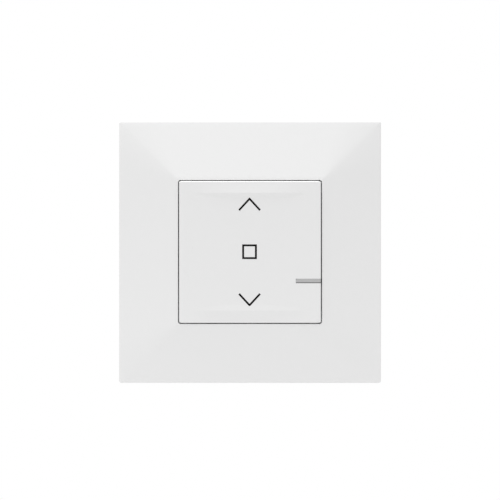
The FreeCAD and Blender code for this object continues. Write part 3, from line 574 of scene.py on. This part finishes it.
def keep_inside(node, outer):
    """A merged copy of a CAD node's mesh without the triangles that outer(centre, normal) names."""
    bm = bmesh.new()
    bm.from_mesh(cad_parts[node].data)
    bmesh.ops.remove_doubles(bm, verts=bm.verts, dist=1e-6)
    gone = [f for f in bm.faces if outer(f.calc_center_median() / mm, f.normal)]
    bmesh.ops.delete(bm, geom=gone, context="FACES")
    for face in bm.faces:
        face.smooth = False
    return bm


# Cover frame

def mitre_height(x, z):
    """How far the frame's face has fallen at a point, with the mitre softened."""
    a, b = abs(x), abs(z)
    top = max(a, b)
    width = max(0.01, mitre_spread * (top - opening_half - mitre_start))
    h = max(width - abs(a - b), 0) / width
    return slope * (max(top + h * h * width / 4, opening_half) - opening_half)


def rolled_edge():
    """The section of the frame's edge as steps out and down: a growing slope, then a small round."""
    run = edge_start - edge_radius
    steps = []
    for i in range(1, 5):
        s = run * i / 4
        steps.append((s, slope * s + (edge_tilt - slope) * s * s / run / 2))
    lean = math.atan(edge_tilt)
    low = steps[-1][1] + edge_radius * math.cos(lean)
    for i in range(1, 7):
        a = lean + (math.pi / 2 - lean) * i / 6
        steps.append((run + edge_radius * (math.sin(a) - math.sin(lean)) / (1 - math.sin(lean)),
                      low - edge_radius * math.cos(a)))
    return steps


def frame_moulding():
    """The frame with its smooth face, rounded edges and softened mitres, and the ribs and legs behind."""

    def outer(c, n):
        reach = max(abs(c.x), abs(c.z))
        corner = min(abs(c.x), abs(c.z)) > frame_half - frame_corner - 0.01
        side = reach > frame_half - 0.02 or (corner and abs(n.y) < 0.1)
        face = n.y < -0.15 and c.y < -5.5 and reach > opening_half - 1
        mouth = reach < opening_half + 0.02
        return side or face or mouth

    bm = keep_inside("cover_frame", outer)
    rings = []

    def ring(half, radius, level):
        rings.append([(x, level(x, z), z) for x, z in square_ring(half, radius)])

    rise = opening_break
    ring(opening_half, opening_corner, lambda x, z: collar_back_y)
    ring(opening_half, opening_corner, lambda x, z: collar_front_y)
    ring(opening_half, opening_corner, lambda x, z: crest_y + rise + 0.12)
    for i in range(6):
        a = math.pi / 2 * i / 5
        half = opening_half + rise - rise * math.cos(a)
        down = rise - rise * math.sin(a)
        ring(half, opening_corner + half - opening_half, lambda x, z: crest_y + mitre_height(x, z) + down)
    start = opening_half + rise
    arc = frame_half - edge_start
    for i in range(1, face_rings + 1):
        t = i / face_rings
        half = start + (arc - start) * t
        radius = (opening_corner + rise) * (1 - t) + mitre_corner * t
        ring(half, radius, lambda x, z: crest_y + mitre_height(x, z))
    for out, down in rolled_edge():

        def level(x, z):
            cx, cz = max(-arc, min(arc, x)), max(-arc, min(arc, z))
            return crest_y + mitre_height(cx, cz) + down

        ring(arc + out, mitre_corner + out, level)
    ring(frame_half, frame_corner, lambda x, z: side_front_y)
    ring(frame_half, frame_corner, lambda x, z: 0.0)
    before = set(bm.faces)
    skin(bm, reversed(rings))
    for f in bm.faces:
        f.smooth = f not in before
    piece = new_piece("frame_moulding", bm, finishes["frame_plastic"].material)
    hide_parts("cover_frame")
    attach(piece, "insert")


# Key

def ridge_level(x, z):
    """How far the key's face stands out at a point: over the flat on a finger ridge.

    The upper ridge swells from the key's edge and drops towards the middle. The lower one is a soft
    step, outside which the face rolls back to the edge."""
    reach = abs(x) / ridge_reach
    if reach >= 1:
        return 0.0
    fade = 1 - reach * reach
    inside = min(1.0, max(0.0, (ridge_place - abs(z)) / (ridge_inner * math.sqrt(fade))))
    outside = min(1.0, max(0.0, (abs(z) - ridge_place) / (key_half - ridge_place)))
    if z > 0:
        return fade * upper_crest * ((1 - inside) ** 2 - outside * (1.35 - 0.35 * outside))
    return fade * (lower_crest * (1 - inside) - (lower_crest + lower_sag) * outside * (2 - outside))


def spaced(stops):
    """Numbers from stops of (end, steps), in order."""
    values = [stops[0]]
    for end, steps in stops[1:]:
        start = values[-1]
        values += [start + (end - start) * i / steps for i in range(1, steps + 1)]
    return values


def key_lines():
    """The grid lines of the key's face: across X, and up Z with more of them on the ridges."""
    flat = key_half - key_break
    across = spaced([-flat, (-ridge_reach, 8), (slot_start, 30), (flat, 10)])
    up = spaced([-flat, (-ridge_place, 16), (-ridge_end, 12), (slot_low, 8), (slot_high, 4),
                 (ridge_end, 20), (ridge_place, 12), (flat, 16)])
    return across, up


def in_slot(z0, z1):
    """Whether a stretch of the key's height lies in the light bar's slot."""
    return slot_low - hair < min(z0, z1) and max(z0, z1) < slot_high + hair


def round_corner(x, z):
    """Moves a point of a square ring onto the key's rounded corner."""
    flat = key_half - key_corner
    u, v = abs(x) - flat, abs(z) - flat
    if u <= 0 or v <= 0:
        return x, z
    shrink = max(u, v) / math.hypot(u, v)
    return math.copysign(flat + u * shrink, x), math.copysign(flat + v * shrink, z)


def key_face(bm, across, up):
    """The key's front face as a grid, left open over the light bar's slot."""
    grid = {}
    for i, x in enumerate(across):
        for j, z in enumerate(up):
            px, pz = round_corner(x, z)
            grid[i, j] = bm.verts.new(Vector((px, key_face_y - ridge_level(x, z), pz)) * mm)
    for i in range(len(across) - 1):
        for j in range(len(up) - 1):
            if across[i] > slot_start - hair and in_slot(up[j], up[j + 1]):
                continue
            bm.faces.new((grid[i, j], grid[i, j + 1], grid[i + 1, j + 1], grid[i + 1, j]))


def key_rim(bm, across, up):
    """The key's rounded rim and its side down to the skirt's end, open where the light bar turns."""
    flat = key_half - key_break
    edge = [(x, up[0]) for x in across] + [(across[-1], z) for z in up[1:]]
    edge += [(x, up[-1]) for x in reversed(across[:-1])] + [(across[0], z) for z in reversed(up[1:-1])]
    levels = []
    for i in range(rim_steps + 1):
        a = math.pi / 2 * i / rim_steps
        levels.append((key_break * math.sin(a), key_break * (1 - math.cos(a))))
    levels.append((key_break, bar_return))
    rings = []
    for out, down in levels:
        ring = []
        for x, z in edge:
            sx = x + math.copysign(out, x) if abs(x) > flat - hair else x
            sz = z + math.copysign(out, z) if abs(z) > flat - hair else z
            px, pz = round_corner(sx, sz)
            ring.append((px, key_face_y + down - ridge_level(x, z), pz))
        rings.append(ring)
    rings.append([(x, skirt_end_y, z) for x, y, z in rings[-1]])

    def leave(i, j):
        x, z = edge[j]
        z1 = edge[(j + 1) % len(edge)][1]
        return i < len(levels) - 1 and x > flat - hair and in_slot(z, z1)

    skin(bm, rings, leave=leave)


def slot_walls(bm, made):
    """Walls behind the edges of the light bar's slot, which stay sharp."""

    def at_slot(v):
        x, y, z = v.co / mm
        return (x > slot_start - 0.18 and slot_low - 0.02 < z < slot_high + 0.02
                and y < key_face_y + bar_return + 0.02)

    rim = [e for e in bm.edges if e.is_boundary and any(f in made for f in e.link_faces)
           and all(at_slot(v) for v in e.verts)]
    for e in rim:
        e.smooth = False
    grown = bmesh.ops.extrude_edge_only(bm, edges=rim)
    for v in [g for g in grown["geom"] if isinstance(g, bmesh.types.BMVert)]:
        turned = v.co.x / mm > key_half - key_break
        v.co += Vector((-slot_inset if turned else 0.0, slot_depth, 0.0)) * mm


def key_moulding():
    """The key with its smooth face, two finger ridges, rounded edges and the slot of the light bar."""

    def outer(c, n):
        reach = max(abs(c.x), abs(c.z))
        corner = min(abs(c.x), abs(c.z)) > key_half - key_corner - 0.02
        side = reach > key_half - 0.02 or (corner and reach > key_half - 0.75 and abs(n.y) < 0.2)
        face = n.y < -0.05 and c.y < key_face_y + 0.42
        return side or face

    bm = keep_inside("key_plate", outer)
    before = set(bm.faces)
    across, up = key_lines()
    key_face(bm, across, up)
    key_rim(bm, across, up)
    made = [f for f in bm.faces if f not in before]
    bmesh.ops.remove_doubles(bm, verts=bm.verts, dist=2e-6)
    made = [f for f in made if f.is_valid]
    bmesh.ops.recalc_face_normals(bm, faces=made)
    if sum(f.normal.y * f.calc_area() for f in made if abs(f.normal.y) > 0.9) > 0:
        bmesh.ops.reverse_faces(bm, faces=made)
    for f in made:
        f.smooth = True
    slot_walls(bm, made)
    piece = new_piece("key_moulding", bm, finishes["key_plastic"].material)
    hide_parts("key_plate")
    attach(piece, "key")


# Contact mat and return springs

def closed_piece(name, rings, material):
    """A closed piece skinned over rings, with a face on each end. It is smooth up to its sharper edges."""
    bm = bmesh.new()
    rows = skin(bm, rings)
    bm.faces.new(rows[0])
    bm.faces.new(rows[-1])
    bmesh.ops.recalc_face_normals(bm, faces=bm.faces)
    for f in bm.faces:
        f.smooth = True
    for e in bm.edges:
        e.smooth = e.calc_face_angle(0.0) < 0.6
    return new_piece(name, bm, material)


def contact_mat():
    """The silicone sheet between the module's cover and the board, with its edges broken."""

    def ring(inset, y):
        points = []
        for turn, (sx, sz) in enumerate(((1, 1), (-1, 1), (-1, -1), (1, -1))):
            for i in range(9):
                a = math.pi / 2 * (turn + i / 8)
                points.append((sx * (mat_half_x - mat_corner) + (mat_corner - inset) * math.cos(a), y,
                               sz * (mat_half_z - mat_corner) + (mat_corner - inset) * math.sin(a)))
        return points

    third = mat_break / 3
    rings = [ring(mat_break, mat_front_y), ring(third, mat_front_y + third),
             ring(0, mat_front_y + mat_break), ring(0, mat_back_y - mat_break),
             ring(third, mat_back_y - third), ring(mat_break, mat_back_y)]
    piece = closed_piece("contact_mat", rings, finishes["silicone"].material)
    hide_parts("dome_mat")
    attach(piece, "insert")


def contact_dome(name, z, height):
    """A bell-shaped dome of the mat."""
    foot, top = dome_foot_radius, dome_top_radius
    profile = [(foot, -0.03), (foot, 0.06), (foot - 0.1, 0.1)]
    for i in range(1, 7):
        u = i / 6
        bell = 1 - (1 - u) ** 2
        profile.append((foot - 0.1 + (top + 0.1 - foot) * bell, 0.1 + (height - 0.3) * u))
    profile += [(top - 0.06, height - 0.06), (top - 0.2, height), (top * 0.6, height),
                (top * 0.5, height - 0.05), (0.3, height - 0.06)]
    turns = [math.tau * i / dome_sides for i in range(dome_sides)]
    rings = [[(r * math.cos(a), mat_front_y - rise, z + r * math.sin(a)) for a in turns]
             for r, rise in profile]
    piece = closed_piece(name, rings, finishes["silicone"].material)
    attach(piece, "insert")
    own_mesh(piece)


def return_spring(side, way):
    """A bowed steel strip between the module's cover and the pivot bar, which it pushes out."""
    middle = (spring_inner + spring_outer) / 2
    reach = (spring_outer - spring_inner) / 2
    h, e = spring_half, spring_edge
    rings = []
    for i in range(spring_steps + 1):
        u = 2 * i / spring_steps - 1
        x = way * (middle + reach * u)
        y = spring_foot_y - spring_sheet + (spring_crown_y - spring_foot_y + spring_sheet) * (1 - u * u)
        b = y + spring_sheet
        rings.append([(x, y + e, -h), (x, y, e - h), (x, y, h - e), (x, y + e, h),
                      (x, b - e, h), (x, b, h - e), (x, b, e - h), (x, b - e, -h)])
    piece = closed_piece(f"return_spring_{side}", rings, finishes["spring_steel"].material)
    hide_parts(f"bar_spring_{side}")
    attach(piece, "insert")
    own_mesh(piece)


# Geometry Nodes helpers

class Growth(Tree):
    """A Geometry Nodes tree with named inputs for its sizes, and its end."""

    def __init__(self, name, sizes):
        group = bpy.data.node_groups.new(name, "GeometryNodeTree")
        super().__init__(group)
        group.interface.new_socket("Geometry", in_out="INPUT", socket_type="NodeSocketGeometry")
        for size, value in sizes.items():
            socket = group.interface.new_socket(size, in_out="INPUT", socket_type="NodeSocketFloat")
            socket.default_value = value
        group.interface.new_socket("Geometry", in_out="OUTPUT", socket_type="NodeSocketGeometry")
        self.entry = group.nodes.new("NodeGroupInput")

    def size(self, name):
        """A named size among the tree's inputs."""
        return Value(self, self.entry.outputs[name])

    def geometry(self):
        return Value(self, self.entry.outputs["Geometry"])

    def finish(self, geometry, material):
        """Ends the tree with Realize Instances and Set Material."""
        real = self.add("GeometryNodeRealizeInstances", None, {0: geometry})
        made = self.add("GeometryNodeSetMaterial", None, {"Geometry": real, "Material": material})
        end = self.tree.nodes.new("NodeGroupOutput")
        self.tree.links.new(made.socket, end.inputs[0])
        return self

    def grow(self, name, seed_mesh, sizes=None):
        """The plain mesh that the tree makes from a seed mesh."""
        seed = bpy.data.objects.new(name + "_seed", seed_mesh)
        bpy.context.scene.collection.objects.link(seed)
        modifier = seed.modifiers.new("growth", "NODES")
        modifier.node_group = self.tree
        for item in self.tree.interface.items_tree:
            if item.in_out == "INPUT" and item.name in (sizes or {}):
                modifier[item.identifier] = sizes[item.name]
        graph = bpy.context.evaluated_depsgraph_get()
        mesh = bpy.data.meshes.new_from_object(seed.evaluated_get(graph), depsgraph=graph)
        bpy.data.objects.remove(seed)
        mesh.name = name
        piece = bpy.data.objects.new(name, mesh)
        bpy.context.scene.collection.objects.link(piece)
        return piece


def seed_mesh(name, points, edges=()):
    """A mesh of loose points, or of points joined by edges."""
    mesh = bpy.data.meshes.new(name)
    mesh.from_pydata([Vector(p) * mm for p in points], list(edges), [])
    return mesh


# Print and raised marks

def path_mesh(name, points, closed=False):
    """A path, with each corner's widening as an attribute, so that a stroke keeps its width there."""
    count = len(points)
    edges = [(i, (i + 1) % count) for i in range(count if closed else count - 1)]
    mesh = seed_mesh(name, points, edges)
    corner = mesh.attributes.new("corner", "FLOAT", "POINT")
    for i, here in enumerate(points):
        widening = 1.0
        if closed or 0 < i < count - 1:
            back = (Vector(here) - Vector(points[i - 1])).normalized()
            on = (Vector(points[(i + 1) % count]) - Vector(here)).normalized()
            widening = 1 / math.cos(back.angle(on) / 2)
        corner.data[i].value = widening
    return mesh


def stroke_growth(material):
    """A stroke of even width along a path."""
    t = Growth("stroke", {"Width": ink_width * mm, "Height": ink_height * mm})
    line = t.add("GeometryNodeMeshToCurve", None, {0: t.geometry()})
    widening = t.add("GeometryNodeInputNamedAttribute", {"data_type": "FLOAT"}, {0: "corner"})
    profile = t.add("GeometryNodeCurvePrimitiveQuadrilateral", None,
                    {"Width": t.size("Height"), "Height": t.size("Width")})
    body = t.add("GeometryNodeCurveToMesh", None,
                 {"Curve": line, "Profile Curve": profile, "Scale": widening, "Fill Caps": True})
    return t.finish(body, material)


def printed_symbols():
    """The up, stop and down symbols, printed on the key's face."""
    growth = stroke_growth(ink)
    y = key_face_y - ink_proud
    x, z, h = print_shift, stop_lift, stop_half
    for name, way in (("up_symbol", 1), ("down_symbol", -1)):
        points = [(x - chevron_half, y, way * chevron_foot), (x, y, way * chevron_apex),
                  (x + chevron_half, y, way * chevron_foot)]
        place_print(growth.grow(name, path_mesh(name, points)))
    square = [(x - h, y, z - h), (x + h, y, z - h), (x + h, y, z + h), (x - h, y, z + h)]
    place_print(growth.grow("stop_symbol", path_mesh("stop_symbol", square, closed=True)))


def place_print(piece):
    """Lets a symbol ride on the key."""
    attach(piece, "key")


def housing_marks():
    """Raised marks behind: which terminals raise and lower, and a gauge for the bare wire's length."""
    growth = stroke_growth(finishes["module_plastic"].material)
    sizes = {"Width": mark_width * mm, "Height": mark_height * mm}
    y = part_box("rear_housing")[1].y / mm
    paths = {}
    m = mark_half
    for name, bar, way in (("raise_mark", "busbar_1", 1), ("lower_mark", "busbar_4", -1)):
        middle = middle_of(bar)
        x, z = middle.x, middle.z + mark_lift
        paths[name] = [(x - m, y, z - way * m / 2), (x, y, z + way * m / 2), (x + m, y, z - way * m / 2)]
    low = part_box("busbar_2")[0]
    half, z = gauge_length / 2, low.z / mm + gauge_lift
    top = z + gauge_tick
    paths["wire_gauge"] = [(-half, y, top), (-half, y, z), (half, y, z), (half, y, top)]
    for name, points in paths.items():
        piece = growth.grow(name, path_mesh(name, points), sizes)
        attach(piece, "insert")


# Threads, solder joints and chip parts

def thread_growth():
    """A thread: a helix of a small triangular section round a screw's shank."""
    t = Growth("screw_thread", {"Radius": 1.2 * mm, "Pitch": thread_pitch * mm, "Turns": 8.0,
                                "Section": 0.2 * mm})
    length = t.size("Pitch") * t.size("Turns")
    helix = t.add("GeometryNodeCurveSpiral", None,
                  {"Resolution": 20, "Rotations": t.size("Turns"), "Start Radius": t.size("Radius"),
                   "End Radius": t.size("Radius"), "Height": length})
    section = t.add("GeometryNodeCurvePrimitiveCircle", {"mode": "RADIUS"},
                    {"Resolution": 3, "Radius": t.size("Section")})
    thread = t.add("GeometryNodeCurveToMesh", None,
                   {"Curve": helix, "Profile Curve": section, "Fill Caps": True})
    points = t.add("GeometryNodeMeshToPoints", None, {0: t.geometry()})
    return t.finish(t.add("GeometryNodeInstanceOnPoints", None, {"Points": points, "Instance": thread}),
                    finishes["zinc_steel"].material)


def screw_threads():
    """The threads of the four terminal screws."""
    growth = thread_growth()
    for number in range(1, 5):
        screw = f"terminal_screw_{number}"
        low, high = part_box(screw)
        middle = middle_of(screw)
        name = f"terminal_thread_{number}"
        seed = seed_mesh(name, [(middle.x, middle.y, low.z / mm + thread_start)])
        length = (high.z - low.z) / mm - thread_start - thread_end
        radius = shank_radius(screw) - thread_sink
        sizes = {"Radius": radius * mm, "Turns": length / thread_pitch}
        piece = growth.grow(name, seed, sizes)
        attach(piece, f"clamp_screw_{number}")


def shank_radius(screw):
    """The radius of a terminal screw's shank, read from its upper end."""
    high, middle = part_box(screw)[1], middle_of(screw)
    points = [v.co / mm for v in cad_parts[screw].data.vertices]
    top = [p for p in points if p.z > high.z / mm - 0.1]
    return max(math.hypot(p.x - middle.x, p.y - middle.y) for p in top)


def joint_growth():
    """Solder joints: a flared cone with the end of a pin in it, on every point."""
    t = Growth("solder_joint", {"Pad": 0.75 * mm, "Pin": 0.32 * mm, "Height": 0.7 * mm})
    cone = t.add("GeometryNodeMeshCone", None,
                 {"Vertices": 12, "Side Segments": 2, "Radius Top": t.size("Pin"),
                  "Radius Bottom": t.size("Pad"), "Depth": t.size("Height")})
    pin = t.add("GeometryNodeMeshCylinder", None,
                {"Vertices": 8, "Side Segments": 1, "Radius": t.size("Pin") * 0.8,
                 "Depth": t.size("Height") * 2.4})
    both = t.add("GeometryNodeJoinGeometry", None, {0: cone})
    t.tree.links.new(pin.socket, both.socket.node.inputs[0])
    points = t.add("GeometryNodeMeshToPoints", None, {0: t.geometry()})
    turned = t.add("GeometryNodeInstanceOnPoints", None,
                   {"Points": points, "Instance": both, "Rotation": (-math.pi / 2, 0.0, 0.0)})
    return t.finish(turned, solder)


def solder_joints():
    """The joints on the back of the power board: relays, transformer, capacitors and varistor."""
    growth = joint_growth()
    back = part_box("power_board")[1].y / mm
    points = []
    for node, pins in board_pins.items():
        low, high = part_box(node)
        for u, v in pins:
            x, z = low.x + (high.x - low.x) * u, low.z + (high.z - low.z) * v
            points.append((x / mm, back, z / mm))
    piece = growth.grow("solder_joints", seed_mesh("solder_joints", points))
    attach(piece, "insert")


def chip_part_growth():
    """Small chip resistors: a dark body with a tinned cap on each end, on every point."""
    t = Growth("chip_part", {"Length": 1.6 * mm, "Width": 0.8 * mm, "Height": 0.5 * mm})
    body = t.add("GeometryNodeMeshCube", None, {0: t.add("ShaderNodeCombineXYZ", None, {
        0: t.size("Length") * 0.6, 1: t.size("Height"), 2: t.size("Width")})})
    body = t.add("GeometryNodeSetMaterial", None, {0: body, "Material": finishes["chip_black"].material})
    cap = t.add("GeometryNodeMeshCube", None, {0: t.add("ShaderNodeCombineXYZ", None, {
        0: t.size("Length") * 0.2, 1: t.size("Height") * 1.08, 2: t.size("Width") * 1.05})})
    cap = t.add("GeometryNodeSetMaterial", None, {0: cap, "Material": solder})
    caps = []
    for way in (1, -1):
        shift = t.add("ShaderNodeCombineXYZ", None, {0: t.size("Length") * (0.4 * way)})
        caps.append(t.add("GeometryNodeTransform", None, {0: cap, "Translation": shift}))
    whole = t.add("GeometryNodeJoinGeometry", None, {0: body})
    for c in caps:
        t.tree.links.new(c.socket, whole.socket.node.inputs[0])
    points = t.add("GeometryNodeMeshToPoints", None, {0: t.geometry()})
    placed = t.add("GeometryNodeInstanceOnPoints", None, {"Points": points, "Instance": whole})
    real = t.add("GeometryNodeRealizeInstances", None, {0: placed})
    end = t.tree.nodes.new("NodeGroupOutput")
    t.tree.links.new(real.socket, end.inputs[0])
    return t


def chip_parts():
    """Rows of chip resistors and capacitors on the back of the control board."""
    growth = chip_part_growth()
    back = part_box("control_board")[1].y / mm + chip_lift
    points = [(chip_left + chip_pitch * i, back, z) for z, count in chip_rows for i in range(count)]
    x, lowest, pitch, count = chip_column
    points += [(x, back, lowest + pitch * i) for i in range(count)]
    piece = growth.grow("chip_parts", seed_mesh("chip_parts", points))
    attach(piece, "insert")


# Studio

def studio():
    """Pale floor, white surroundings, a soft light from above and a camera straight in front.

    The lamp stands a little behind the switch's face, so that only what leans back catches it."""
    scene = bpy.context.scene
    scene.view_settings.view_transform = "Standard"
    scene.view_settings.look = "None"
    world = bpy.data.worlds.new("studio")
    scene.world = world
    world.use_nodes = True
    world.node_tree.nodes["Background"].inputs["Color"].default_value = (1, 1, 1, 1)
    world.node_tree.nodes["Background"].inputs["Strength"].default_value = 1.0
    bm = bmesh.new()
    bmesh.ops.create_grid(bm, x_segments=8, y_segments=8, size=floor_half * mm)
    bmesh.ops.translate(bm, verts=bm.verts, vec=(0, 0, cad_low.z - floor_drop * mm))
    floor = new_piece("floor", bm, pale_floor().material)
    light = bpy.data.lights.new("above", "AREA")
    light.shape = "RECTANGLE"
    light.size = lamp_width * mm
    light.size_y = lamp_depth * mm
    light.energy = lamp_power
    lamp = bpy.data.objects.new("above", light)
    scene.collection.objects.link(lamp)
    lamp.location = Vector(lamp_place) * mm
    lamp.rotation_euler = (Vector((0, 0, 0)) - lamp.location).to_track_quat("-Z", "Y").to_euler()
    camera = bpy.data.cameras.new("camera")
    camera.type = "ORTHO"
    camera.ortho_scale = photo_width * mm
    camera.clip_start = 0.01
    camera.clip_end = 10
    eye = bpy.data.objects.new("camera", camera)
    scene.collection.objects.link(eye)
    eye.location = (0, -camera_distance * mm, photo_drop * mm)
    eye.rotation_euler = (math.pi / 2, 0, 0)
    scene.camera = eye


dress_nodes()
frame_moulding()
key_moulding()
contact_mat()
contact_dome("stop_dome", 0.0, stop_dome_height)
contact_dome("up_dome", dome_place, side_dome_height)
contact_dome("down_dome", -dome_place, side_dome_height)
return_spring("left", -1)
return_spring("right", 1)
printed_symbols()
housing_marks()
screw_threads()
solder_joints()
chip_parts()
studio()
